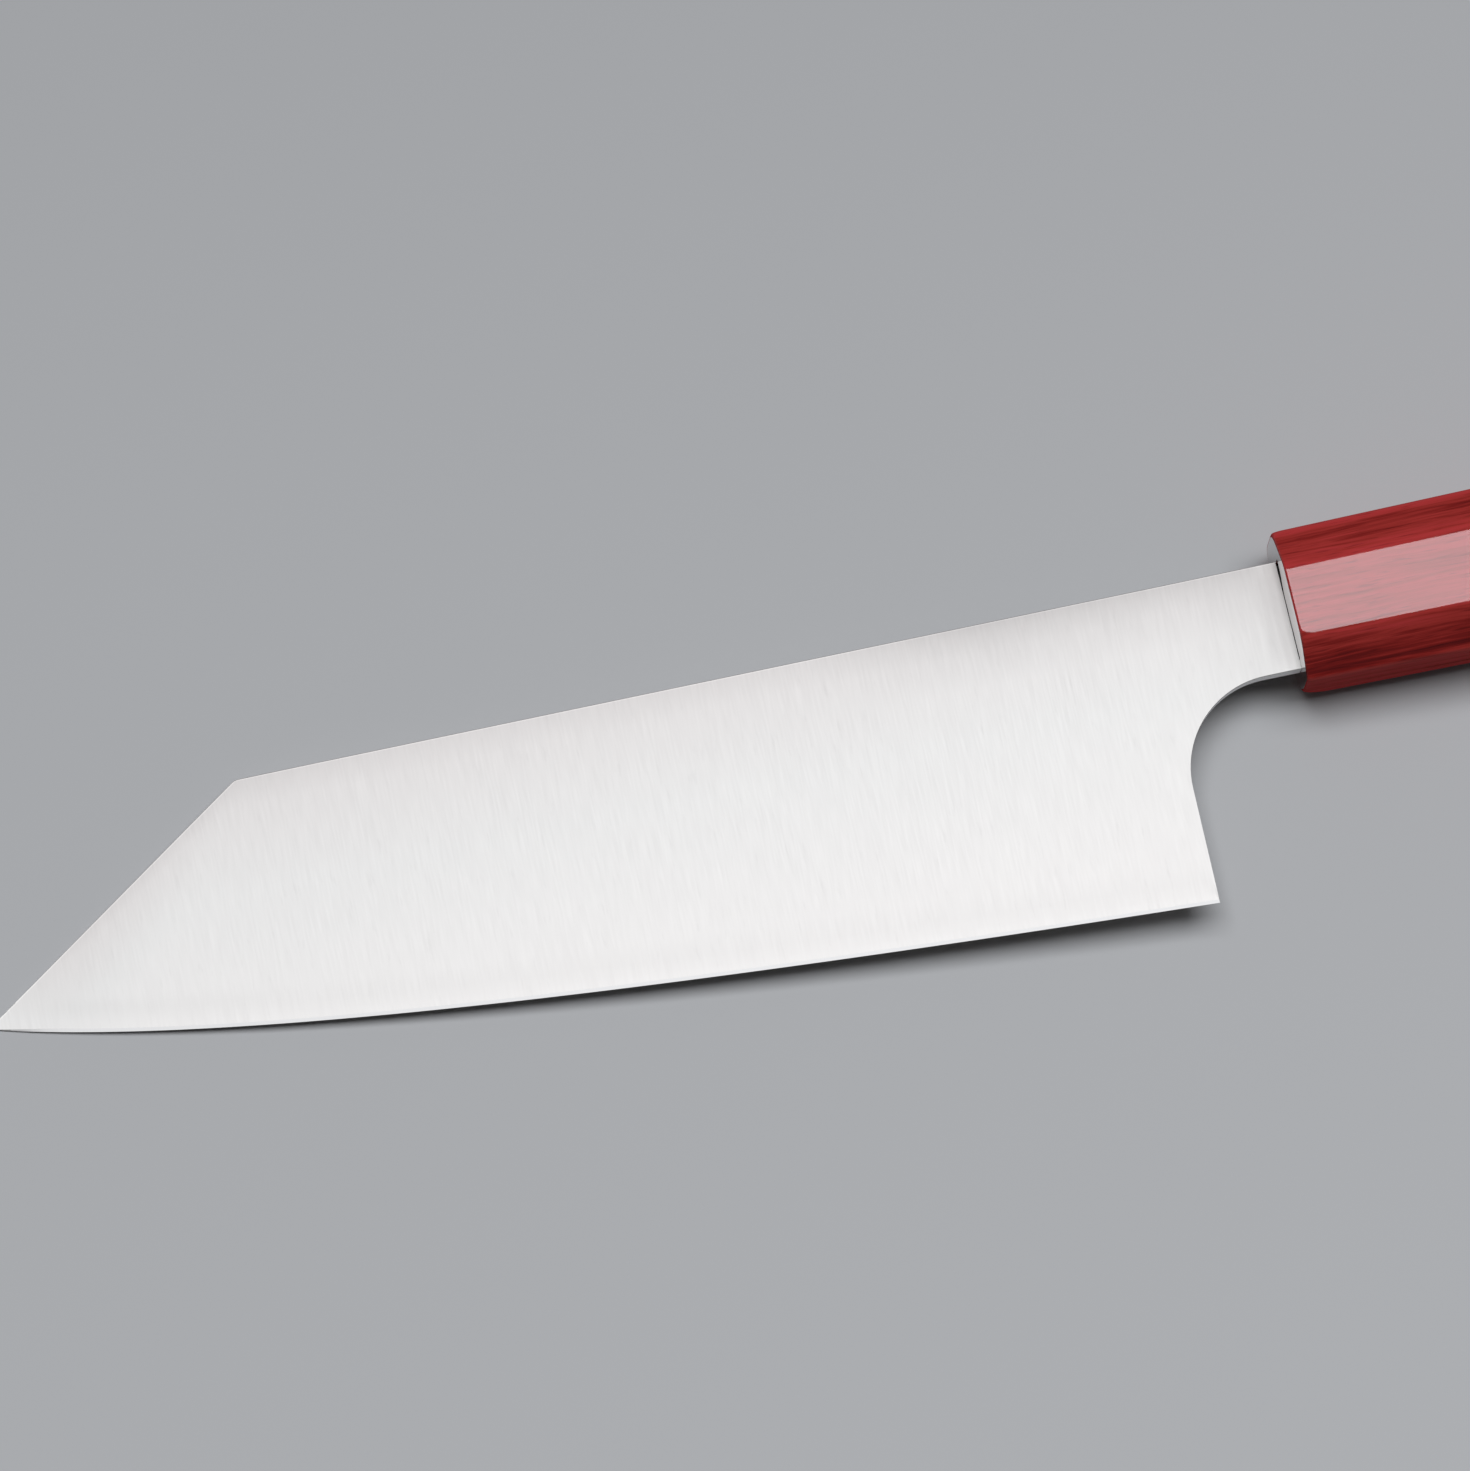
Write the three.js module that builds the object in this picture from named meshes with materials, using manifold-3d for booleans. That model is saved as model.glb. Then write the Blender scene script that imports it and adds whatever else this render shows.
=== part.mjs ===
// Bunka kitchen knife: a clad steel blade whose hidden tang is glued into an octagonal handle.
// Millimetres. The knife is drawn with the handle's front face at x = 0 and its axis along X,
// the spine towards +Y and the blade's middle plane at z = 0. The last lines lay it on its side,
// where it rests on its tip and on the front edge of the handle's lower facet.
import * as THREE from "three";
import { mergeVertices } from "three/addons/utils/BufferGeometryUtils.js";
import Module from "manifold-3d";

const wasm = await Module();
wasm.setup();
const { degToRad, lerp, smoothstep } = THREE.MathUtils;

// Blade outline
const SPINE_ABOVE_AXIS = 7.55;
const SPINE_LENGTH = 147.8; // handle face to the corner where the spine ends
const BLADE_REACH = 187.4; // handle face to the tip
const TIP_ANGLE = 34.4; // degrees that the straight tip line falls from the spine
const CORNER_RADIUS = 1.8; // where the spine turns into the tip line
const BLADE_HEIGHT = 45.3; // spine to heel
const HEEL_SETBACK = 18.6; // handle face to the back of the heel
const HEEL_SLOPE = 0.054; // rise of the edge per millimetre where it leaves the heel
const HEEL_PULL = 85; // how far the edge curve is drawn along that slope
const TIP_SLOPE = 0.281; // and the same where the edge arrives at the tip
const TIP_PULL = 29.7;
const NECK_HEIGHT = 15.7; // spine to the underside of the neck
const CHOIL_RADIUS = 13.3; // the hollow between the heel and the neck

// Blade thickness
const NECK_THICKNESS = 2.4;
const HEEL_SPINE_THICKNESS = 2.2; // on the spine, above the heel
const CORNER_SPINE_THICKNESS = 1.5; // on the spine, at its front corner
const EDGE_THICKNESS = 0.24; // just above the sharpened bevel
const EDGE_FLAT = 0.05; // what is left at the cutting edge itself
const BEVEL_WIDTH = 0.5;
const GRIND_BULGE = 0.25; // how far the ground faces swell out of a straight wedge
const GRIND_FADE = 17; // the faces run out into the flat neck over this length
const SPINE_EASING = 0.25;
const CORE_THICKNESS = 0.66; // hard middle layer, which comes out of the cladding at the edge
const BOND_LINE = 0.02; // between the layers

// Tang
const TANG_LENGTH = 95;
const TANG_ROOT_HEIGHT = 13.4;
const TANG_END_HEIGHT = 6;
const TANG_TOP_STEP = 0.6; // shoulder on the spine side, a larger one is left below
const SHOULDER_GAP = 0.05; // shoulder to handle face

// Handle
const HANDLE_LENGTH = 128;
const FRONT_HEIGHT = 21.4;
const FRONT_THICKNESS = 16.8;
const BUTT_HEIGHT = 25;
const BUTT_THICKNESS = 19.6;
const SIDE_FACET_SHARE = 0.44; // the two broad side facets, as a share of the height
const BACK_FACET_SHARE = 0.48; // the facets in line with spine and edge, of the thickness
const CORNER_EASING = 0.5; // set back from each long corner
const FRONT_EASING = 0.5;
const BUTT_EASING = 1.5;

// Adhesive
const GLUE_SIDE_SPACE = 1; // tang to mortise wall, at the flat sides
const GLUE_EDGE_SPACE = 0.4; // and at the two narrow edges
const GLUE_GAP = 0.1; // between the adhesive and what it holds
const GLUE_RECESS = 0.6; // its surface lies this far inside the mortise mouth
const MORTISE_END_ROOM = 3; // beyond the end of the tang

function solidFrom(geometry) {
  const bare = geometry.clone();
  bare.deleteAttribute("normal");
  bare.deleteAttribute("uv");
  const merged = mergeVertices(bare, 1e-5);
  const mesh = new wasm.Mesh({
    numProp: 3,
    vertProperties: new Float32Array(merged.attributes.position.array),
    triVerts: new Uint32Array(merged.index.array),
  });
  return new wasm.Manifold(mesh);
}

function geometryFrom(solid) {
  const { vertProperties, triVerts } = solid.getMesh();
  const indexed = new THREE.BufferGeometry();
  indexed.setAttribute("position", new THREE.BufferAttribute(vertProperties, 3));
  indexed.setIndex(new THREE.BufferAttribute(triVerts, 1));
  const geometry = indexed.toNonIndexed();
  geometry.computeVertexNormals();
  return geometry;
}

// Skin over rings of [x, y, z] points with a convex outline, in order of rising x.
function loft(rings) {
  const count = rings[0].length;
  const points = rings.flat();
  const faces = [];
  for (let ring = 0; ring < rings.length - 1; ring++) {
    for (let i = 0; i < count; i++) {
      const here = ring * count + i;
      const next = ring * count + ((i + 1) % count);
      faces.push(here, next, next + count, here, next + count, here + count);
    }
  }
  const lastRing = (rings.length - 1) * count;
  const frontMiddle = points.push(middleOf(rings[0])) - 1;
  const backMiddle = points.push(middleOf(rings.at(-1))) - 1;
  for (let i = 0; i < count; i++) {
    const next = (i + 1) % count;
    faces.push(frontMiddle, next, i);
    faces.push(backMiddle, lastRing + i, lastRing + next);
  }
  const geometry = new THREE.BufferGeometry();
  geometry.setAttribute("position", new THREE.Float32BufferAttribute(points.flat(), 3));
  geometry.setIndex(faces);
  return solidFrom(geometry);
}

function middleOf(ring) {
  const sum = (axis) => ring.reduce((total, point) => total + point[axis], 0);
  return [sum(0) / ring.length, sum(1) / ring.length, sum(2) / ring.length];
}

// Cutting edge, from the heel to the tip
const heel = new THREE.Vector2(-HEEL_SETBACK, SPINE_ABOVE_AXIS - BLADE_HEIGHT);
const tipDrop = (BLADE_REACH - SPINE_LENGTH) * Math.tan(degToRad(TIP_ANGLE));
const tip = new THREE.Vector2(-BLADE_REACH, SPINE_ABOVE_AXIS - tipDrop);
const edge = new THREE.CubicBezierCurve(
  heel,
  new THREE.Vector2(heel.x - HEEL_PULL, heel.y + HEEL_PULL * HEEL_SLOPE),
  new THREE.Vector2(tip.x + TIP_PULL, tip.y - TIP_PULL * TIP_SLOPE),
  tip
);

// Half the thickness at a station x, at a share of the way from the edge bevel to the spine.
function halfThickness(x, share) {
  const alongSpine = (x + HEEL_SETBACK) / (HEEL_SETBACK - SPINE_LENGTH);
  const spine = lerp(HEEL_SPINE_THICKNESS, CORNER_SPINE_THICKNESS, alongSpine);
  const swollen = share * (1 + GRIND_BULGE * (1 - share));
  const ground = lerp(EDGE_THICKNESS, spine, swollen);
  const fade = smoothstep(x, -GRIND_FADE, 0);
  return lerp(ground, NECK_THICKNESS, fade) / 2;
}

// Full section of the blade at a station x where the edge is at edgeY.
function bladeSection(x, edgeY) {
  const bevelTop = edgeY + BEVEL_WIDTH;
  const faceTop = SPINE_ABOVE_AXIS - SPINE_EASING;
  const edgeHalf = lerp(EDGE_FLAT, NECK_THICKNESS, smoothstep(x, -GRIND_FADE, 0)) / 2;
  const half = [[edgeY, edgeHalf]];
  for (const share of [0, 0.1, 0.25, 0.4, 0.6, 0.8, 1]) {
    half.push([lerp(bevelTop, faceTop, share), halfThickness(x, share)]);
  }
  half.push([SPINE_ABOVE_AXIS, halfThickness(x, 1) - SPINE_EASING]);
  const under = half.map(([y, z]) => [x, y, -z]);
  const over = half.map(([y, z]) => [x, y, z]);
  return [...under, ...over.reverse()];
}

// The ground steel runs past the tip and the heel, and the outline then cuts it to shape.
function groundSteel() {
  const overrun = 4;
  const rings = [bladeSection(tip.x - overrun, tip.y + overrun * TIP_SLOPE)];
  for (const point of edge.getPoints(40).reverse()) {
    rings.push(bladeSection(point.x, point.y));
  }
  for (const share of [0.1, 0.25, 0.4, 0.55, 0.7, 0.85, 1]) {
    const x = lerp(-HEEL_SETBACK, 0, share);
    rings.push(bladeSection(x, heel.y - (x - heel.x) * HEEL_SLOPE));
  }
  const end = TANG_LENGTH + overrun;
  rings.push(bladeSection(end, heel.y - (end - heel.x) * HEEL_SLOPE));
  return loft(rings);
}

const neckBottom = SPINE_ABOVE_AXIS - NECK_HEIGHT;
const tangTop = SPINE_ABOVE_AXIS - TANG_TOP_STEP;
const tangBottom = tangTop - TANG_ROOT_HEIGHT;
const tangMiddle = (tangTop + tangBottom) / 2;

// Top and bottom of the tang at a distance x behind the handle face.
function tangSpan(x) {
  const share = x / TANG_LENGTH;
  return [
    lerp(tangTop, tangMiddle + TANG_END_HEIGHT / 2, share),
    lerp(tangBottom, tangMiddle - TANG_END_HEIGHT / 2, share),
  ];
}

// Side view of blade, neck and tang. Above the spine and below the edge it leaves room.
function outlineBlock() {
  const above = SPINE_ABOVE_AXIS + 2;
  const below = heel.y - 2;
  const tipFall = degToRad(TIP_ANGLE);
  const cornerX = -SPINE_LENGTH + CORNER_RADIUS * Math.tan(tipFall / 2);
  const cornerY = SPINE_ABOVE_AXIS - CORNER_RADIUS;
  const [endTop, endBottom] = tangSpan(TANG_LENGTH);
  const side = new THREE.Shape();
  side.moveTo(cornerX, above);
  side.absarc(cornerX, cornerY, CORNER_RADIUS, Math.PI / 2, Math.PI / 2 + tipFall, false);
  side.lineTo(tip.x + (below - tip.y) / Math.tan(tipFall), below);
  side.lineTo(heel.x, below);
  const choilX = heel.x + CHOIL_RADIUS;
  const choilY = neckBottom - CHOIL_RADIUS;
  side.absarc(choilX, choilY, CHOIL_RADIUS, Math.PI, Math.PI / 2, true);
  side.lineTo(-SHOULDER_GAP, neckBottom);
  side.lineTo(-SHOULDER_GAP, tangBottom);
  side.lineTo(TANG_LENGTH, endBottom);
  side.lineTo(TANG_LENGTH, endTop);
  side.lineTo(-SHOULDER_GAP, tangTop);
  side.lineTo(-SHOULDER_GAP, above);
  const depth = 2 * NECK_THICKNESS;
  const block = new THREE.ExtrudeGeometry(side, { depth, bevelEnabled: false, curveSegments: 16 });
  return solidFrom(block.translate(0, 0, -depth / 2));
}

const steel = groundSteel().intersect(outlineBlock());

// One layer of the blade, between two heights above its middle plane.
function layer(low, high) {
  const length = 2 * (BLADE_REACH + TANG_LENGTH);
  const slab = new THREE.BoxGeometry(length, 4 * BLADE_HEIGHT, high - low);
  return steel.intersect(solidFrom(slab.translate(0, 0, (low + high) / 2)));
}

const coreHalf = CORE_THICKNESS / 2;
const core = layer(-coreHalf, coreHalf);
const leftCladding = layer(coreHalf + BOND_LINE, NECK_THICKNESS);
const rightCladding = layer(-NECK_THICKNESS, -coreHalf - BOND_LINE);

// Eight-sided section of the handle, its corners eased, made smaller all round by an inset.
function octagon(x, inset) {
  const share = x / HANDLE_LENGTH;
  const height = lerp(FRONT_HEIGHT, BUTT_HEIGHT, share) / 2 - inset;
  const thickness = lerp(FRONT_THICKNESS, BUTT_THICKNESS, share) / 2 - inset;
  const sideFlat = SIDE_FACET_SHARE * height;
  const backFlat = BACK_FACET_SHARE * thickness;
  const quarter = [new THREE.Vector2(height, backFlat), new THREE.Vector2(sideFlat, thickness)];
  const turned = quarter.map((corner) => corner.clone().multiplyScalar(-1));
  const mirror = ([first, second]) => [
    new THREE.Vector2(-second.x, second.y),
    new THREE.Vector2(-first.x, first.y),
  ];
  const corners = [...quarter, ...mirror(quarter), ...turned, ...mirror(turned)];
  const path = new THREE.Path();
  corners.forEach((corner, i) => {
    const before = corners.at(i - 1).clone().sub(corner).setLength(CORNER_EASING).add(corner);
    const after = corners[(i + 1) % 8].clone().sub(corner).setLength(CORNER_EASING).add(corner);
    if (i === 0) path.moveTo(before.x, before.y);
    else path.lineTo(before.x, before.y);
    path.quadraticCurveTo(corner.x, corner.y, after.x, after.y);
  });
  return path.getPoints(3).map((point) => [x, point.x, point.y]);
}

// Handle without its mortise, both ends eased by quarter rounds.
function handleBlank() {
  const rings = [];
  const steps = 3;
  for (let step = steps; step >= 0; step--) {
    const turn = (step / steps) * (Math.PI / 2);
    rings.push(octagon(FRONT_EASING * (1 - Math.sin(turn)), FRONT_EASING * (1 - Math.cos(turn))));
  }
  for (let step = 0; step <= steps; step++) {
    const turn = (step / steps) * (Math.PI / 2);
    const x = HANDLE_LENGTH - BUTT_EASING * (1 - Math.sin(turn));
    rings.push(octagon(x, BUTT_EASING * (1 - Math.cos(turn))));
  }
  return loft(rings);
}

// The tang's own block between two stations, grown at its flat sides and at its edges.
function tangBlock(start, end, sideGrow, edgeGrow) {
  const half = NECK_THICKNESS / 2 + sideGrow;
  const ring = (x) => {
    const [top, bottom] = tangSpan(x);
    return [
      [x, bottom - edgeGrow, -half],
      [x, top + edgeGrow, -half],
      [x, top + edgeGrow, half],
      [x, bottom - edgeGrow, half],
    ];
  };
  return loft([ring(start), ring(end)]);
}

const mortiseEnd = TANG_LENGTH + MORTISE_END_ROOM;
const mortise = tangBlock(-1, mortiseEnd, GLUE_SIDE_SPACE, GLUE_EDGE_SPACE);
const handle = handleBlank().subtract(mortise);
const glueSide = GLUE_SIDE_SPACE - GLUE_GAP;
const glueEdge = GLUE_EDGE_SPACE - GLUE_GAP;
const glueBlock = tangBlock(GLUE_RECESS, mortiseEnd - GLUE_GAP, glueSide, glueEdge);
const tangRoom = tangBlock(-1, TANG_LENGTH + GLUE_GAP, GLUE_GAP, GLUE_GAP);
const adhesive = glueBlock.subtract(tangRoom);

function named(name, solid, color, roughness, metalness) {
  const material = new THREE.MeshStandardMaterial({ color, roughness, metalness });
  const mesh = new THREE.Mesh(geometryFrom(solid), material);
  mesh.name = name;
  return mesh;
}

const knife = new THREE.Group();
knife.add(
  named("blade_core", core, 0xd9dadb, 0.28, 1),
  named("cladding_left", leftCladding, 0xc9cacc, 0.34, 1),
  named("cladding_right", rightCladding, 0xc9cacc, 0.34, 1),
  named("handle", handle, 0x8a2326, 0.18, 0),
  named("tang_adhesive", adhesive, 0xb9a878, 0.3, 0)
);

// Lay it down: the butt rises until the tip is as low as the handle's front edge.
const frontDrop = (FRONT_THICKNESS - EDGE_THICKNESS) / 2;
knife.rotation.y = -Math.atan2(frontDrop, BLADE_REACH + FRONT_EASING);
knife.updateMatrixWorld(true);
const box = new THREE.Box3().setFromObject(knife, true);
const middle = box.getCenter(new THREE.Vector3());
knife.position.set(-middle.x, -middle.y, -box.min.z);

const part = new THREE.Group();
part.name = "bunka_knife";
part.add(knife);
export default part;
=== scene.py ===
"""Looks of the bunka knife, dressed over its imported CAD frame: blade, handle and adhesive.

Shapes are drawn in the knife's own axes, in millimetres: x = 0 is the handle's front face and +X
runs to the butt, +Y points to the spine, and z = 0 is the blade's middle plane. KNIFE lays them
down in the row frame, in metres, the way the CAD lies. Materials work in the same axes, but in
metres. Stage, lamp and camera are in metres in the row frame.
"""
import math

import bmesh
import bpy
from mathutils import Matrix, Vector
from mathutils.geometry import tessellate_polygon


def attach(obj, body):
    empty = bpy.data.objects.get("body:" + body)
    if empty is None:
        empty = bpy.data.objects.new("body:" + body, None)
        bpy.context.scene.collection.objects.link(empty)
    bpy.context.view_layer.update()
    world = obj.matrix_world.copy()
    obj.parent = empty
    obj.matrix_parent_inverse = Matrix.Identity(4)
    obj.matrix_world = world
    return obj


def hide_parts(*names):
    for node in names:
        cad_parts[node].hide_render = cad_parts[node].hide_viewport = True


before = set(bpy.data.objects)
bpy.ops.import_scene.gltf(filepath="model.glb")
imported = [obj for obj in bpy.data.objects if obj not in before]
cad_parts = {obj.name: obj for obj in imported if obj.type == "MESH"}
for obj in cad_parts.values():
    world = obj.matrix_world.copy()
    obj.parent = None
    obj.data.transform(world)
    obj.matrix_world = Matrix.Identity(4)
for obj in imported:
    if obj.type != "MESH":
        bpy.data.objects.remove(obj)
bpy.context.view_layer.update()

MM = 0.001
LIES_AT = (0.029489, 0.012636, 0.008375)
LIES_TURNED = math.radians(-2.523163)
KNIFE = Matrix.Translation(LIES_AT) @ Matrix.Rotation(LIES_TURNED, 4, "Y")

# Blade outline and thickness, as in the CAD
SPINE_Y = 7.55
SPINE_LENGTH = 147.8
REACH = 187.4
TIP_ANGLE = math.radians(34.4)
CORNER_RADIUS = 1.8
BLADE_HEIGHT, HEEL_SETBACK = 45.3, 18.6
HEEL = Vector((-HEEL_SETBACK, SPINE_Y - BLADE_HEIGHT))
HEEL_SLOPE, HEEL_PULL = 0.054, 85.0  # the edge is a cubic curve, with a slope and a pull at each end
TIP = Vector((-REACH, SPINE_Y - (REACH - SPINE_LENGTH) * math.tan(TIP_ANGLE)))
TIP_SLOPE, TIP_PULL = 0.281, 29.7
NECK_HEIGHT = 15.7
NECK_Y = SPINE_Y - NECK_HEIGHT
CHOIL_RADIUS = 13.3
NECK_THICKNESS = 2.4
HEEL_SPINE_THICKNESS = 2.2
CORNER_SPINE_THICKNESS = 1.5
EDGE_THICKNESS = 0.24
BEVEL_WIDTH = 0.5
GRIND_BULGE = 0.25
GRIND_FADE = 17.0

# Finer forms of the blade that only show up close
EASING = 0.1  # radius of the edges along the spine, the tip line and the choil
EASING_SHARE = 0.8  # most of the half thickness that an eased edge may take, near the tip
ROLL_WIDTH, ROLL_DEPTH = 8.0, 0.11  # how the faces fall away towards the spine and the tip line
LEAST_HALF = 0.08  # half thickness that the fall leaves
BEVEL_SHOULDER, THINNING = 0.08, 5.0  # half thickness above the bevel; the thinning ends this high

# Tang and handle, as in the CAD
TANG_LENGTH = 95.0
TANG_TOP, TANG_BOTTOM = SPINE_Y - 0.6, SPINE_Y - 14.0  # at the handle's front face
TANG_MIDDLE = (TANG_TOP + TANG_BOTTOM) / 2
TANG_END_HALF = 3.0
SHOULDER_X = -0.05
HANDLE_LENGTH = 128.0
FRONT_HEIGHT, FRONT_THICKNESS = 21.4, 16.8
BUTT_HEIGHT, BUTT_THICKNESS = 25.0, 19.6
BACK_FACET_SHARE = 0.48
BUTT_EASING = 1.5
MORTISE_EDGE, MORTISE_END = 0.4, 98.0

# Finer forms of the handle and its joint; the octagon's corners are counted from the spine side
FRONT_EASING = 0.32
FRONT_LEAN, LEAN_FADE = 0.03, 8.0  # the front face leans forward at the top; gone this far behind
SPINE_SIDE_EXTRA = 0.5  # the hand-shaped handle is fuller towards the spine
UPPER_FACET_SHARE, LOWER_FACET_SHARE = 0.50, 0.505  # reach of its flat sides to spine and edge
UNDER_FACET_SHARE = 0.62  # and how far its narrow sides reach down at the front
CORNER_EASING = 0.7
FACET_EASINGS = {2: 1.2, 7: 1.2}  # the flat sides turn over more softly towards the spine
WORN_CORNERS = {0: 1.5, 1: 1.5, 3: 2.0, 5: 4.5, 6: 2.0}  # extra rounding at the front end
EASING_LIMIT = 0.49  # share of a facet that one corner's rounding may take
MORTISE_SIDE = 0.8
NOTCH_DEPTH, NOTCH_WIDTH, NOTCH_LENGTH = 4.0, 1.6, 4.5  # chipped upper end of the mortise mouth
NOTCH_MIDDLE = 0.8  # share of its width that the chip has halfway down
GLUE_RECESS, GLUE_GAP = 2.5, 0.1

# Columns of the blade mesh: close at the tip, then evenly spaced, then fanned out from FAN_FROM
# to follow the heel and the choil, where FAN_BEND is the spine end of the choil's first column
EDGE_STEPS = 400
CORNER_STEPS = 8
TIP_COLUMNS, TIP_SPACE = 11, 0.12
COLUMN_SPACE, LAST_SPACE = 1.5, 1.6
FAN_FROM, FAN_BEND = -48.0, HEEL.x - 1.0
FAN_STEPS, HEEL_STEPS, CHOIL_STEPS, NECK_STEPS, TANG_STEPS = 30, 10, 24, 8, 12

# Its rows, measured from its lower and from its upper side; the tang runs on from the last low
# row and the first high row. Columns shorter than FULL_SPAN squeeze them.
LOW_ROWS = (0.0, 0.03, EASING, BEVEL_WIDTH, 1.0, TANG_BOTTOM - NECK_Y)
HIGH_ROWS = (SPINE_Y - TANG_TOP, 0.3, EASING, 0.05, 0.015, 0.0)
INNER_ROWS = 26
BEVEL_ROWS = 3
FULL_SPAN = 8.0
BRUSH_SLANT = 0.5, 0.7  # shift of the brush map with z, which gives the walls a direction too

# Rings of the handle mesh
ROUND_STEPS, CORNER_POINTS, BODY_STEPS = 7, 9, 16
FRONT_RINGS = (0.4, 0.7, 1.0, 1.3, 1.6, 2.0, 2.5, 3.0, 4.0, 5.5)

# Edges that turn by more degrees than this stay hard
PLAIN_HARD, BLADE_HARD, HANDLE_HARD = 30, 7, 35
MERGE_WITHIN = 1e-7


def lerp(a, b, t):
    return a + (b - a) * t


def smoothstep(x, low, high):
    t = min(max((x - low) / (high - low), 0.0), 1.0)
    return t * t * (3 - 2 * t)


def quarter_round(radius, depth):
    """How far a rounded edge of this radius falls back at a depth below its top."""
    reach = max(radius - depth, 0.0)
    return radius - math.sqrt(radius**2 - reach**2)


def add_piece(name, points, faces, materials, replaced, tags=None, hard_angle=PLAIN_HARD):
    """Make a piece of knife-millimetre points that rides on the object's one body.

    tags gives each face's place in materials. Edges that turn by more than hard_angle stay hard.
    """
    mesh = bpy.data.meshes.new(name)
    mesh.from_pydata([Vector(p) * MM for p in points], [], faces)
    for material in materials:
        mesh.materials.append(material)
    if tags:
        mesh.polygons.foreach_set("material_index", tags)
    bm = bmesh.new()
    bm.from_mesh(mesh)
    bmesh.ops.remove_doubles(bm, verts=bm.verts, dist=MERGE_WITHIN)
    unused = [v for v in bm.verts if not v.link_faces]
    bmesh.ops.delete(bm, geom=unused, context="VERTS")
    bmesh.ops.recalc_face_normals(bm, faces=bm.faces)
    for face in bm.faces:
        face.smooth = True
    for edge in bm.edges:
        edge.smooth = edge.calc_face_angle(0.0) < math.radians(hard_angle)
    bm.to_mesh(mesh)
    bm.free()
    piece = bpy.data.objects.new(name, mesh)
    bpy.context.scene.collection.objects.link(piece)
    piece.matrix_world = KNIFE
    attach(piece, "root")
    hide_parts(*replaced)
    return piece


# Blade


def edge_curve(count):
    """Points of the cutting edge from the tip to the heel."""
    tip_pull = TIP + TIP_PULL * Vector((1, -TIP_SLOPE))
    heel_pull = HEEL + HEEL_PULL * Vector((-1, HEEL_SLOPE))
    points = []
    for i in range(count + 1):
        t = i / count
        s = 1 - t
        points.append(TIP * s**3 + tip_pull * 3 * s * s * t + heel_pull * 3 * s * t * t + HEEL * t**3)
    return points


EDGE = edge_curve(EDGE_STEPS)


def at_x(points, x):
    """Point of a polyline of rising x at a given x."""
    for p, q in zip(points, points[1:]):
        if p.x <= x <= q.x:
            return p.lerp(q, (x - p.x) / (q.x - p.x))
    return points[-1] if x > points[-1].x else points[0]


def edge_y(x):
    """Height of the edge, carried on straight behind the heel."""
    if x > HEEL.x:
        return HEEL.y - (x - HEEL.x) * HEEL_SLOPE
    return at_x(EDGE, x).y


def behind_tip_line(x, y):
    """Distance of a place in the blade from the line that cuts the spine off towards the tip."""
    return (x + SPINE_LENGTH) * math.sin(TIP_ANGLE) + (SPINE_Y - y) * math.cos(TIP_ANGLE)


def face_half(x, y):
    """Half thickness of the ground blade at a place in its outline."""
    bevel_top = edge_y(x) + BEVEL_WIDTH
    share = min(max((y - bevel_top) / (SPINE_Y - bevel_top), 0.0), 1.0)
    along_spine = (x - HEEL.x) / (-SPINE_LENGTH - HEEL.x)
    spine = lerp(HEEL_SPINE_THICKNESS, CORNER_SPINE_THICKNESS, along_spine)
    ground = lerp(EDGE_THICKNESS, spine, share * (1 + GRIND_BULGE * (1 - share)))
    fade = smoothstep(x, -GRIND_FADE, 0)
    roll = 0.0
    for distance in (SPINE_Y - y, behind_tip_line(x, y)):
        roll += ROLL_DEPTH * max(1 - max(distance, 0.0) / ROLL_WIDTH, 0.0) ** 2
    return max(lerp(ground, NECK_THICKNESS, fade) / 2 - roll * (1 - fade), LEAST_HALF)


def top_curve():
    """Tip line, rounded corner and spine, from the tip to the handle."""
    inset = CORNER_RADIUS * math.tan(TIP_ANGLE / 2)
    centre = Vector((-SPINE_LENGTH + inset, SPINE_Y - CORNER_RADIUS))
    turns = [math.pi / 2 + TIP_ANGLE * (1 - i / CORNER_STEPS) for i in range(CORNER_STEPS + 1)]
    arc = [centre + CORNER_RADIUS * Vector((math.cos(a), math.sin(a))) for a in turns]
    return [TIP] + arc + [Vector((SHOULDER_X, SPINE_Y))]


def choil_curve():
    """The hollow from the back of the heel to the underside of the neck."""
    points = []
    for i in range(CHOIL_STEPS + 1):
        turn = math.pi / 2 * i / CHOIL_STEPS
        points.append(Vector((HEEL.x + CHOIL_RADIUS * (1 - math.cos(turn)),
                              NECK_Y - CHOIL_RADIUS * (1 - math.sin(turn)))))
    return points


def blade_columns():
    """Lower point, upper point and whether it lies behind the heel, from the tip to the neck."""
    top = top_curve()
    xs = [-REACH + TIP_SPACE * k * k for k in range(1, TIP_COLUMNS + 1)]
    x = xs[-1]
    xs += [p.x for p in top[1:-1]]
    while x < FAN_FROM - LAST_SPACE:
        x += COLUMN_SPACE
        xs.append(x)
    columns = [(at_x(EDGE, x), at_x(top, x), False) for x in sorted(xs)]
    lower = [at_x(EDGE, lerp(FAN_FROM, HEEL.x, i / FAN_STEPS)) for i in range(FAN_STEPS + 1)]
    choil = choil_curve()
    heel_back = [HEEL.lerp(choil[0], i / HEEL_STEPS) for i in range(1, HEEL_STEPS + 1)]
    neck_end = Vector((SHOULDER_X, NECK_Y))
    neck = [choil[-1].lerp(neck_end, i / NECK_STEPS) for i in range(1, NECK_STEPS + 1)]
    path = lower + heel_back + choil[1:] + neck
    runs = [0.0]
    for p, q in zip(path, path[1:]):
        runs.append(runs[-1] + (q - p).length)
    bend = len(lower) + len(heel_back) - 1
    for i, (p, run) in enumerate(zip(path, runs)):
        if i <= bend:
            x = lerp(FAN_FROM, FAN_BEND, run / runs[bend])
        else:
            x = lerp(FAN_BEND, SHOULDER_X, (run - runs[bend]) / (runs[-1] - runs[bend]))
        columns.append((p, Vector((x, SPINE_Y)), i >= len(lower)))
    return columns


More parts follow.
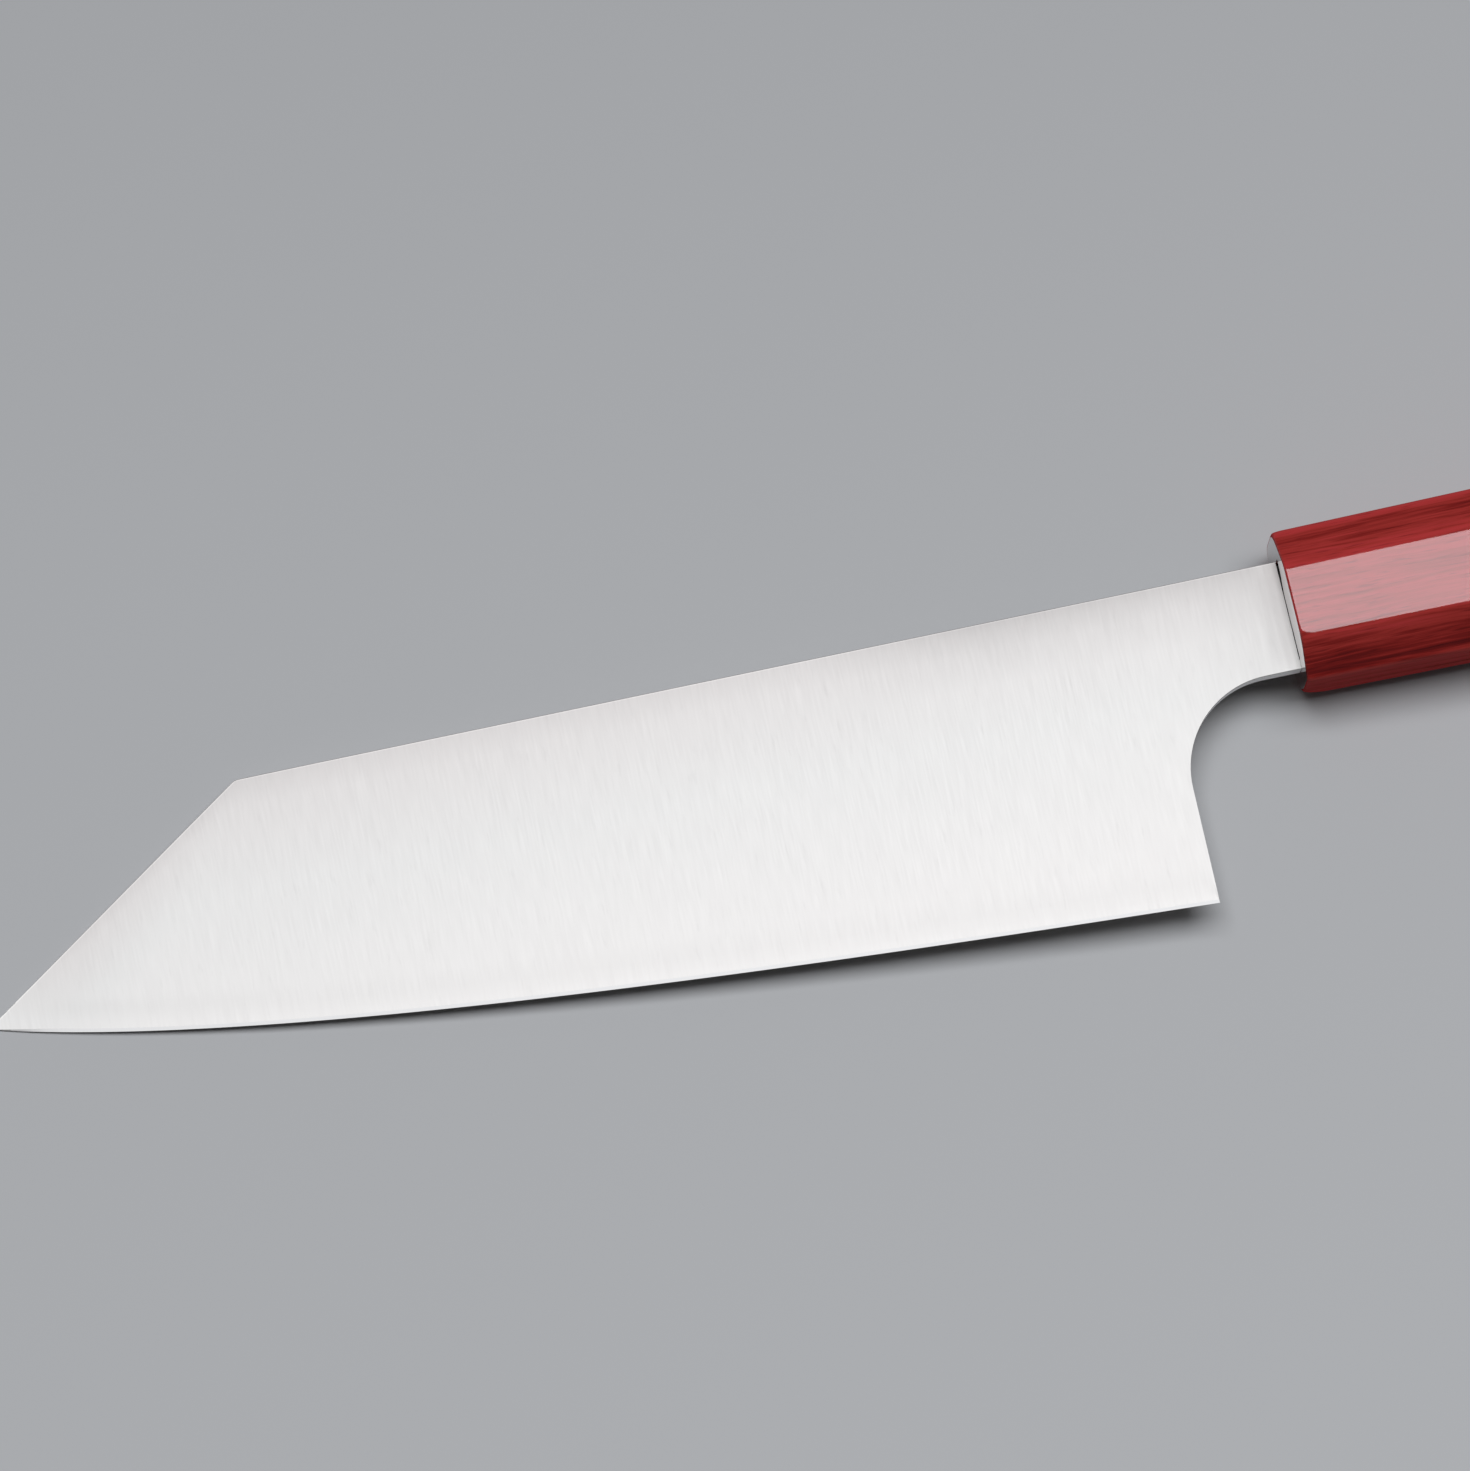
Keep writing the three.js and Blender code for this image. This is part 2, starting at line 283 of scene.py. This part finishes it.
def column_points(low, high, behind_heel):
    """Points of the upper face along one column, from the lower to the upper side."""
    span = (high - low).length
    squeeze = min(1.0, span / FULL_SPAN)
    rows = [d * squeeze for d in LOW_ROWS]
    top_row = span - HIGH_ROWS[0] * squeeze
    rows += [lerp(rows[-1], top_row, i / INNER_ROWS) for i in range(1, INNER_ROWS)]
    rows += [span - d * squeeze for d in HIGH_ROWS]
    points = []
    for d in rows:
        x, y = low.lerp(high, d / span)
        half = face_half(x, y)
        half -= min(quarter_round(EASING, span - d), half * EASING_SHARE)
        if behind_heel:
            half -= quarter_round(EASING, d)
        else:
            half = min(half, lerp(BEVEL_SHOULDER, half, smoothstep(d, BEVEL_WIDTH, THINNING)))
            half *= min(d / (BEVEL_WIDTH * squeeze), 1.0)
        points.append((x, y, max(half, 0.0)))
    return points


def tang_height(x, edge=0.0):
    """Lowest and highest y of the tang, or of a room round it that is wider by edge."""
    share = x / TANG_LENGTH
    low = lerp(TANG_BOTTOM, TANG_MIDDLE - TANG_END_HALF, share) - edge
    high = lerp(TANG_TOP, TANG_MIDDLE + TANG_END_HALF, share) + edge
    return low, high


def build_blade(steel, choil_steel, edge_steel, tang_steel):
    """Make the faces of the blade, and the core steel that shows: the whetted edge and the tang."""
    outline = blade_columns()
    columns = [column_points(*column) for column in outline]
    rows = len(columns[0])
    tang_low, tang_high = len(LOW_ROWS) - 1, rows - len(HIGH_ROWS)
    for i in range(1, TANG_STEPS + 1):
        x = TANG_LENGTH * i / TANG_STEPS
        low, high = tang_height(x)
        steps = tang_high - tang_low
        column = [None] * rows
        for k in range(steps + 1):
            column[tang_low + k] = (x, lerp(low, high, k / steps), NECK_THICKNESS / 2)
        columns.append(column)
    points, place = [(TIP.x, TIP.y, 0.0)], {"tip": 0}
    for c, column in enumerate(columns):
        for r, point in enumerate(column):
            if point:
                for side in (1, -1):
                    place[c, r, side] = len(points)
                    points.append((point[0], point[1], side * point[2]))
    clad, choil, edge, tang = [], [], [], []

    def face(shells, *corners):
        for shell in shells:
            shell.append(tuple(place[corner] for corner in corners))

    def wall(shells, c, r):
        """A face across the thickness that runs along a row."""
        face(shells, (c, r, 1), (c + 1, r, 1), (c + 1, r, -1), (c, r, -1))

    def cap(shells, c, cap_rows):
        """Faces across the thickness that run up a column."""
        for r in cap_rows:
            face(shells, (c, r, 1), (c, r + 1, 1), (c, r + 1, -1), (c, r, -1))

    heel = max(c for c, column in enumerate(outline) if not column[2])
    neck, end = len(outline) - 1, len(columns) - 1
    tang_rows = range(tang_low, tang_high)
    for c in range(end):
        for r in range(rows - 1) if c < neck else tang_rows:
            bevel = c < heel and r < BEVEL_ROWS
            shell = edge if bevel else clad if c < neck else tang
            for side in (1, -1):
                face([shell], (c, r, side), (c + 1, r, side), (c + 1, r + 1, side), (c, r + 1, side))
        if c < heel:
            wall([clad, edge], c, BEVEL_ROWS)
        elif c < neck:
            wall([choil], c, 0)
        if c < neck:
            wall([clad], c, rows - 1)
        else:
            wall([tang], c, tang_low)
            wall([tang], c, tang_high)
    for r in range(rows - 1):
        for side in (1, -1):
            face([edge if r < BEVEL_ROWS else clad], "tip", (0, r, side), (0, r + 1, side))
    face([clad], "tip", (0, rows - 1, 1), (0, rows - 1, -1))
    face([clad, edge], "tip", (0, BEVEL_ROWS, 1), (0, BEVEL_ROWS, -1))
    cap([clad, edge], heel, range(BEVEL_ROWS))
    cap([clad], neck, [r for r in range(rows - 1) if r not in tang_rows])
    cap([clad, tang], neck, tang_rows)
    cap([tang], end, tang_rows)
    tags = [0] * len(clad) + [1] * len(choil)
    piece = add_piece("blade_faces", points, clad + choil, [steel, choil_steel],
                      ("cladding_left", "cladding_right"), tags, BLADE_HARD)
    brush = piece.data.uv_layers.new(name="brush")
    for loop in piece.data.loops:
        x, y, z = piece.data.vertices[loop.vertex_index].co
        brush.data[loop.index].uv = (x + BRUSH_SLANT[0] * z, y + BRUSH_SLANT[1] * z)
    tags = [0] * len(edge) + [1] * len(tang)
    add_piece("edge_and_tang", points, edge + tang, [edge_steel, tang_steel],
              ("blade_core",), tags, BLADE_HARD)


# Handle and adhesive


def octagon(x, inset):
    """Eight-sided section of the handle with round corners, as (y, z) points."""
    share = x / HANDLE_LENGTH
    half = lerp(FRONT_HEIGHT, BUTT_HEIGHT, share) / 2 - inset
    depth = lerp(FRONT_THICKNESS, BUTT_THICKNESS, share) / 2 - inset
    top = half + SPINE_SIDE_EXTRA * (1 - share)
    a, near_a = UPPER_FACET_SHARE * half, LOWER_FACET_SHARE * half
    b, under_b = BACK_FACET_SHARE * depth, lerp(UNDER_FACET_SHARE, BACK_FACET_SHARE, share) * depth
    corners = [Vector(c) for c in ((top, -under_b), (top, b), (a, depth), (-near_a, depth),
                                   (-half, b), (-half, -under_b), (-near_a, -depth), (a, -depth))]
    ring = []
    for i, corner in enumerate(corners):
        easing = FACET_EASINGS.get(i, CORNER_EASING) + quarter_round(WORN_CORNERS.get(i, 0.0), x)
        before, after = [corner + side.normalized() * min(easing, side.length * EASING_LIMIT)
                         for side in (corners[i - 1] - corner, corners[(i + 1) % len(corners)] - corner)]
        for k in range(CORNER_POINTS):
            t = k / (CORNER_POINTS - 1)
            ring.append(before * (1 - t) ** 2 + corner * 2 * t * (1 - t) + after * t * t)
    return ring


def mortise(x, notch):
    """Section of the slot for the tang, as (y, z) points; notch widens its upper end."""
    low, high = tang_height(x, MORTISE_EDGE)
    half = NECK_THICKNESS / 2 + MORTISE_SIDE
    chip = (high, half + notch), (high - NOTCH_LENGTH / 2, half + notch * NOTCH_MIDDLE)
    corners = (high, -half), *chip, (high - NOTCH_LENGTH, half), (low, half), (low, -half)
    return [Vector(corner) for corner in corners]


def build_handle(wood, end_grain):
    """Make the handle as one closed shell with its mortise; the front face is end grain."""
    turns = [math.pi / 2 * k / ROUND_STEPS for k in range(ROUND_STEPS + 1)]
    rings = [(FRONT_EASING * (1 - math.cos(a)), FRONT_EASING * (1 - math.sin(a))) for a in turns]
    rings += [(x, 0.0) for x in FRONT_RINGS]
    body_end = HANDLE_LENGTH - BUTT_EASING
    rings += [(lerp(FRONT_RINGS[-1], body_end, k / BODY_STEPS), 0.0) for k in range(1, BODY_STEPS)]
    rings += [(HANDLE_LENGTH - BUTT_EASING * (1 - math.sin(a)), BUTT_EASING * (1 - math.cos(a)))
              for a in turns]
    sections = [(x, octagon(x, inset)) for x, inset in rings]
    sections += [(0.0, mortise(0.0, NOTCH_WIDTH)), (NOTCH_DEPTH, mortise(NOTCH_DEPTH, 0.0)),
                 (MORTISE_END, mortise(MORTISE_END, 0.0))]
    points, starts = [], []
    for x, section in sections:
        starts.append(len(points))
        lean = FRONT_LEAN * max(1 - x / LEAN_FADE, 0.0)
        points += [(x - lean * p.y, p.x, p.y) for p in section]
    faces = []
    butt, mouth = len(rings) - 1, len(rings)
    for s in list(range(butt)) + [mouth, mouth + 1]:
        count = len(sections[s][1])
        for i in range(count):
            j = (i + 1) % count
            faces.append((starts[s] + i, starts[s] + j, starts[s + 1] + j, starts[s + 1] + i))
    for s in (butt, mouth + 2):
        faces.append(tuple(starts[s] + i for i in range(len(sections[s][1]))))
    tags = [0] * len(faces)
    loops = [[p.to_3d() for p in sections[s][1]] for s in (0, mouth)]
    index = [starts[s] + i for s in (0, mouth) for i in range(len(sections[s][1]))]
    for triangle in tessellate_polygon(loops):
        faces.append(tuple(index[i] for i in triangle))
        tags.append(1)
    piece = add_piece("octagonal_handle", points, faces, [wood, end_grain],
                      ("handle",), tags, HANDLE_HARD)
    normals = piece.modifiers.new("facet_normals", "WEIGHTED_NORMAL")
    normals.keep_sharp = True


def build_adhesive(epoxy):
    """The fill between the tang and the walls of the mortise."""

    def ring(x, side, edge):
        low, high = tang_height(x, edge)
        half = NECK_THICKNESS / 2 + side
        return [(x, high, -half), (x, high, half), (x, low, half), (x, low, -half)]

    # Points 0 to 7 are the front and the end of the outside, and 8 to 15 those of the inside
    outside = MORTISE_SIDE - GLUE_GAP, MORTISE_EDGE - GLUE_GAP
    points = ring(GLUE_RECESS, *outside) + ring(MORTISE_END - GLUE_GAP, *outside)
    points += ring(GLUE_RECESS, GLUE_GAP, GLUE_GAP) + ring(TANG_LENGTH + GLUE_GAP, GLUE_GAP, GLUE_GAP)
    faces = [(4, 5, 6, 7), (12, 13, 14, 15)]
    for i in range(4):
        j = (i + 1) % 4
        faces += [(i, j, 4 + j, 4 + i), (8 + i, 8 + j, 12 + j, 12 + i), (i, j, 8 + j, 8 + i)]
    add_piece("tang_adhesive_fill", points, faces, [epoxy], ("tang_adhesive",))


# Materials


class Looks:
    """A node material in the making. Its methods add nodes and return what they put out."""

    def __init__(self, name):
        self.material = bpy.data.materials.new(name)
        self.material.use_nodes = True
        self.tree = self.material.node_tree
        self.shader = self.tree.nodes["Principled BSDF"]
        self.place = self.add("ShaderNodeTexCoord").outputs["Object"]

    def feed(self, socket, value):
        if isinstance(value, bpy.types.NodeSocket):
            self.tree.links.new(value, socket)
        else:
            socket.default_value = value

    def add(self, kind, inputs=None, **settings):
        node = self.tree.nodes.new(kind)
        for name, value in settings.items():
            setattr(node, name, value)
        for name, value in (inputs or {}).items():
            self.feed(node.inputs[name], value)
        return node

    def shade(self, values):
        for name, value in values.items():
            self.feed(self.shader.inputs[name], value)

    def noise(self, per_metre, detail=3.0, roughness=0.5, place=None, output="Fac"):
        """Smooth noise with so many bumps per metre along x, y and z."""
        stretched = self.add("ShaderNodeMapping", {"Vector": place or self.place, "Scale": per_metre})
        node = self.add("ShaderNodeTexNoise", {"Vector": stretched.outputs[0], "Scale": 1.0,
                                               "Detail": detail, "Roughness": roughness})
        return node.outputs[output]

    def ramp(self, value, *stops):
        """Colours between stops of (position, colour), where a plain number is a grey."""
        node = self.add("ShaderNodeValToRGB", {"Fac": value})
        elements = node.color_ramp.elements
        while len(elements) < len(stops):
            elements.new(0.5)
        for element, (position, colour) in zip(elements, stops):
            element.position = position
            element.color = (*colour, 1.0) if isinstance(colour, tuple) else (colour,) * 3 + (1.0,)
        return node.outputs["Color"]

    def math(self, operation, *values):
        node = self.add("ShaderNodeMath", operation=operation)
        for socket, value in zip(node.inputs, values):
            self.feed(socket, value)
        return node.outputs[0]

    def share(self, value, start, end):
        """How far a value has come from start to end, from 0 to 1."""
        node = self.add("ShaderNodeMapRange", {"Value": value, "From Min": start, "From Max": end})
        return node.outputs["Result"]

    def spread(self, value, low, high):
        """A value of 0 to 1 taken to the range from low to high."""
        node = self.add("ShaderNodeMapRange", {"Value": value, "To Min": low, "To Max": high})
        return node.outputs["Result"]

    def multiply(self, first, second, share=1.0):
        """Two colours multiplied; share fades the second one in."""
        a, b, result = 6, 7, 2  # the mix node's colour sockets, whose names it uses more than once
        node = self.add("ShaderNodeMix", {"Factor": share, a: first, b: second},
                        data_type="RGBA", blend_type="MULTIPLY")
        return node.outputs[result]

    def axes(self):
        return self.add("ShaderNodeSeparateXYZ", {"Vector": self.place}).outputs

    def bump(self, height, strength, distance):
        node = self.add("ShaderNodeBump", {"Height": height, "Strength": strength, "Distance": distance})
        return node.outputs["Normal"]


def satin_steel():
    """Steel brushed from spine to edge, with painted light and shade: darker along the spine and the tip
    line, lighter on their rims and at the joint with the handle.
    """
    tip_weight, tip_blend = 2.2, 0.004  # the shade is narrower at the tip line than at the spine
    light_from, light_tip = -0.17, 0.02  # and it ends towards the tip itself
    shade_depth, spine_shade_depth = 0.04, 0.009
    joint_length, handle_length = 0.014, 0.07  # reach of the painted light at the joint, and of the painted shade along the spine beside the handle
    looks = Looks("satin_steel")
    fine = looks.noise((3600, 180, 180))
    broad = looks.noise((500, 60, 60), detail=4.0)
    steel = looks.ramp(broad, (0.3, (0.716, 0.698, 0.675)), (0.7, (0.724, 0.707, 0.683)))
    x, y, _ = looks.axes()
    below_spine = looks.math("SUBTRACT", SPINE_Y * MM, y)
    tip_sine = math.sin(TIP_ANGLE)
    from_corner = looks.math("MULTIPLY_ADD", x, tip_sine, SPINE_LENGTH * MM * tip_sine)
    behind_tip = looks.math("MULTIPLY_ADD", below_spine, math.cos(TIP_ANGLE), from_corner)
    # the painted shade fades out towards the tip
    to_tip = looks.share(x, light_from, -REACH * MM)
    lighter = looks.math("MULTIPLY", looks.math("POWER", to_tip, 2.0), light_tip)
    tip_margin = looks.math("MULTIPLY_ADD", behind_tip, tip_weight, lighter)
    margin = looks.math("SMOOTH_MIN", below_spine, tip_margin, tip_blend)
    # painted shade: darker along the spine and the tip line, lighter further towards the edge
    shade = looks.ramp(looks.math("DIVIDE", margin, shade_depth),
                       (0.0, (0.79, 0.77, 0.77)), (0.1, (0.85, 0.835, 0.835)),
                       (0.4, 0.90), (1.0, (0.97, 0.96, 0.96)))
    # painted reflection of the handle's front face: much lighter at the joint, with a little painted
    # shade a few millimetres out
    joint = looks.ramp(looks.math("DIVIDE", x, -joint_length), (0.0, 1.42), (0.064, 1.37), (0.114, 1.17),
                       (0.157, 1.1), (0.207, 0.985), (0.257, 0.94), (0.5, 0.955), (1.0, 1.0))
    ticks = looks.ramp(looks.noise((1400, 260, 260)), (0.62, 1.0), (0.74, 0.965))
    # painted highlight along the rims of the spine and the tip line
    to_rim = looks.math("MINIMUM", below_spine, behind_tip)
    rim = looks.ramp(looks.math("DIVIDE", to_rim, MM), (0.12, 1.2), (0.28, 1.0))
    # painted shade along the spine, faded in only beside the handle
    spine_shade = looks.ramp(looks.math("DIVIDE", below_spine, spine_shade_depth),
                      (0.0, 0.83), (0.18, 0.89), (0.5, 0.94), (1.0, 1.0))
    by_handle = looks.ramp(looks.math("MULTIPLY_ADD", x, 1 / handle_length, 1.0),
                           (0.03, 0.0), (0.4, 1.0), (0.6, 0.85), (0.9, 0.6))
    shade = looks.multiply(shade, spine_shade, by_handle)
    shade = looks.multiply(looks.multiply(shade, rim), looks.multiply(joint, ticks))
    tangent = looks.add("ShaderNodeTangent", direction_type="UV_MAP", uv_map="brush")
    looks.shade({"Base Color": looks.multiply(steel, shade), "Metallic": 1.0,
                 "Roughness": looks.spread(fine, 0.605, 0.645), "Anisotropic": 0.45,
                 "Tangent": tangent.outputs["Tangent"], "Normal": looks.bump(fine, 0.03, 0.00005)})
    return looks.material


def lightened_choil_steel():
    """The rounded choil and the back of the heel, rubbed bright and painted lighter still: painted light
    on walls that the lamp barely reaches.
    """
    looks = Looks("lightened_choil_steel")
    strokes = looks.noise((700, 700, 2500))
    # painted light: a much lighter copy of the blade's steel
    colour = looks.ramp(strokes, (0.3, (0.92, 0.915, 0.91)), (0.7, (0.96, 0.955, 0.95)))
    looks.shade({"Base Color": colour, "Metallic": 1.0, "Roughness": looks.spread(strokes, 0.55, 0.65)})
    return looks.material


def whetted_steel():
    """The whetted bevel along the cutting edge, in steel painted lighter than the faces so that its
    slope, turned from the lamp, still looks bright.
    """
    looks = Looks("whetted_steel")
    strokes = looks.noise((2500, 300, 300))
    # painted light: lighter than the steel of the faces
    colour = looks.ramp(strokes, (0.3, (0.80, 0.785, 0.77)), (0.7, (0.84, 0.825, 0.81)))
    looks.shade({"Base Color": colour, "Metallic": 1.0, "Roughness": looks.spread(strokes, 0.58, 0.66)})
    return looks.material


def scaled_steel():
    """Dark forge scale on the tang, seen through the mouth of the mortise."""
    looks = Looks("scaled_steel")
    scale = looks.noise((900, 900, 900), detail=5.0)
    colour = looks.ramp(scale, (0.3, (0.018, 0.016, 0.015)), (0.7, (0.045, 0.04, 0.036)))
    looks.shade({"Base Color": colour, "Metallic": 0.5, "Roughness": looks.spread(scale, 0.6, 0.8)})
    return looks.material


def red_wood():
    """Red laminated wood under clear lacquer: grain along the handle, with painted light that makes the
    flat and the narrow faces lighter than the chamfers and the spine side lighter than the edge side.
    """
    sway = (0.0, 0.0016, 0.0016)  # how far the grain wanders across the handle
    # how deep and how strong the painted light under the faces is, and its rise towards the spine side
    narrow_lit_depth, flat_lit_depth = 0.0009, 0.0014
    narrow_painted_light, flat_painted_light, spine_painted_light = 0.24, 0.17, 6.0
    band_share, fibre_share = 0.6, 0.7
    lacquer, narrow_lacquer = 0.16, 0.07
    looks = Looks("red_laminated_wood")
    drift = looks.noise((45, 160, 160), detail=2.0, output="Color")
    grain = looks.add("ShaderNodeVectorMath", {0: drift, 1: sway, 2: looks.place},
                      operation="MULTIPLY_ADD").outputs[0]
    bands = looks.noise((7, 200, 480), place=grain)
    fibres = looks.noise((60, 1700, 1700), detail=4.0, roughness=0.6, place=grain)
    pores = looks.noise((240, 3600, 3600), detail=2.0, place=grain)
    x, y, z = looks.axes()
    # painted light: a thin skin under the flat and the narrow faces is lighter, and the wood lightens
    # towards the spine side
    lit_masks = []
    for across, front, butt, lit_depth in ((y, FRONT_HEIGHT, BUTT_HEIGHT, narrow_lit_depth),
                                     (z, FRONT_THICKNESS, BUTT_THICKNESS, flat_lit_depth)):
        side = looks.math("MULTIPLY_ADD", x, (butt - front) / 2 / HANDLE_LENGTH, front / 2 * MM)
        depth = looks.math("SUBTRACT", side, looks.math("ABSOLUTE", across))
        lit_masks.append(looks.share(depth, lit_depth, lit_depth / 3))
    narrow_sides, flat_sides = lit_masks
    tone = looks.math("MULTIPLY_ADD", narrow_sides, narrow_painted_light, looks.math("MULTIPLY", y, spine_painted_light))
    tone = looks.math("MULTIPLY_ADD", flat_sides, flat_painted_light, tone)
    figure = looks.math("MULTIPLY_ADD", fibres, fibre_share, tone)
    figure = looks.math("MULTIPLY_ADD", bands, band_share, figure)
    colour = looks.ramp(figure, (0.44, (0.085, 0.005, 0.006)), (0.61, (0.22, 0.013, 0.011)),
                        (0.73, (0.36, 0.030, 0.025)), (0.90, (0.46, 0.039, 0.039)))
    dashes = looks.ramp(pores, (0.28, (0.7, 0.66, 0.7)), (0.42, 1.0))
    looks.shade({"Base Color": looks.multiply(colour, dashes), "Roughness": 0.5,
                 "Specular IOR Level": 0.0, "Coat Roughness": 0.08, "Coat IOR": 3.0,
                 "Coat Weight": looks.spread(narrow_sides, lacquer, narrow_lacquer)})
    return looks.material


def end_grain():
    """Dark end grain of the front face, soaked with resin and polished under the lacquer."""
    looks = Looks("polished_end_grain")
    speckle = looks.noise((1500, 2600, 2600), detail=2.0)
    lit_masks = looks.noise((40, 60, 900))
    figure = looks.math("MULTIPLY_ADD", speckle, 0.5, looks.math("MULTIPLY", lit_masks, 0.5))
    colour = looks.ramp(figure, (0.35, (0.05, 0.006, 0.006)), (0.65, (0.13, 0.014, 0.013)))
    looks.shade({"Base Color": colour, "Roughness": 0.06, "IOR": 1.7,
                 "Coat Weight": 1.0, "Coat Roughness": 0.04, "Coat IOR": 1.7})
    return looks.material


def cured_epoxy():
    """Amber adhesive, just seen inside the mortise, kept dark as painted shade so that the mouth of the
    mortise looks black.
    """
    looks = Looks("cured_epoxy")
    cloud = looks.noise((400, 400, 400))
    # painted shade: a dark amber, so the gap at the mortise mouth reads black
    colour = looks.ramp(cloud, (0.3, (0.10, 0.075, 0.05)), (0.7, (0.16, 0.12, 0.08)))
    looks.shade({"Base Color": colour, "Roughness": looks.spread(cloud, 0.25, 0.4)})
    return looks.material


def floor_paper():
    """Pale grey paper with painted light: it grows lighter towards the camera."""
    far_y, near_y, mottling = 0.2, -0.2, 0.05
    looks = Looks("floor_paper")
    mottle = looks.noise((6, 6, 6))
    # painted light: lighter towards the camera
    near = looks.share(looks.axes()[1], far_y, near_y)
    tone = looks.math("MULTIPLY_ADD", mottle, mottling, near)
    colour = looks.ramp(tone, (0.0, (0.425, 0.425, 0.427)), (1.0, (0.595, 0.595, 0.597)))
    looks.shade({"Base Color": colour, "Roughness": 0.9, "Specular IOR Level": 0.1})
    return looks.material


build_blade(satin_steel(), lightened_choil_steel(), whetted_steel(), scaled_steel())
build_handle(red_wood(), end_grain())
build_adhesive(cured_epoxy())

# Stage, lamp and camera
FLOOR_HALF, FLOOR_DROP = 4.0, 0.0001
LAMP_AT, LAMP_SIZE, LAMP_RADIANCE = (0.06, 0.280, 1.472), (1.34, 0.69), 6.68
LAMP_TINT = (0.965, 0.99, 1.03)
AMBIENT = (0.055, 0.056, 0.0575, 1)
CAMERA_AT = Vector((-0.12579, -0.14969, 0.73670))
CAMERA_AIM = Vector((-0.04935, 0.01196, 0.00490))
CAMERA_ROLL = math.radians(-12.5575)
CAMERA_LENS, CAMERA_SENSOR, CAMERA_NEAR = 133.207, 36.0, 0.01


def link(name, data):
    item = bpy.data.objects.new(name, data)
    bpy.context.scene.collection.objects.link(item)
    return item


def build_floor():
    mesh = bpy.data.meshes.new("floor")
    signs = (-1, -1), (1, -1), (1, 1), (-1, 1)
    corners = [(x * FLOOR_HALF, y * FLOOR_HALF, -FLOOR_DROP) for x, y in signs]
    mesh.from_pydata(corners, [], [(0, 1, 2, 3)])
    mesh.materials.append(floor_paper())
    link("floor", mesh)


def softbox(name, location, size, radiance):
    """A lamp that hangs at location and faces the knife."""
    lamp = bpy.data.lights.new(name, "AREA")
    lamp.shape = "RECTANGLE"
    lamp.size, lamp.size_y = size
    lamp.energy = math.pi * radiance * size[0] * size[1]
    lamp.color = LAMP_TINT
    rig = link(name, lamp)
    rig.location = location
    rig.rotation_euler = (-Vector(location)).to_track_quat("-Z", "Y").to_euler()


def build_world():
    world = bpy.data.worlds.new("studio")
    world.use_nodes = True
    world.node_tree.nodes["Background"].inputs["Color"].default_value = AMBIENT
    bpy.context.scene.world = world


def build_camera():
    data = bpy.data.cameras.new("camera")
    data.sensor_fit = "HORIZONTAL"
    data.sensor_width = CAMERA_SENSOR
    data.lens = CAMERA_LENS
    data.clip_start = CAMERA_NEAR
    camera = link("camera", data)
    back = (CAMERA_AT - CAMERA_AIM).normalized()
    right = Vector((0, 1, 0)).cross(back).normalized()
    turn = Matrix((right, back.cross(right), back)).transposed().to_4x4()
    camera.matrix_world = Matrix.Translation(CAMERA_AT) @ turn @ Matrix.Rotation(CAMERA_ROLL, 4, "Z")
    bpy.context.scene.camera = camera


build_floor()
softbox("overhead_softbox", LAMP_AT, LAMP_SIZE, LAMP_RADIANCE)
build_world()
build_camera()
bpy.context.scene.view_settings.view_transform = "Standard"
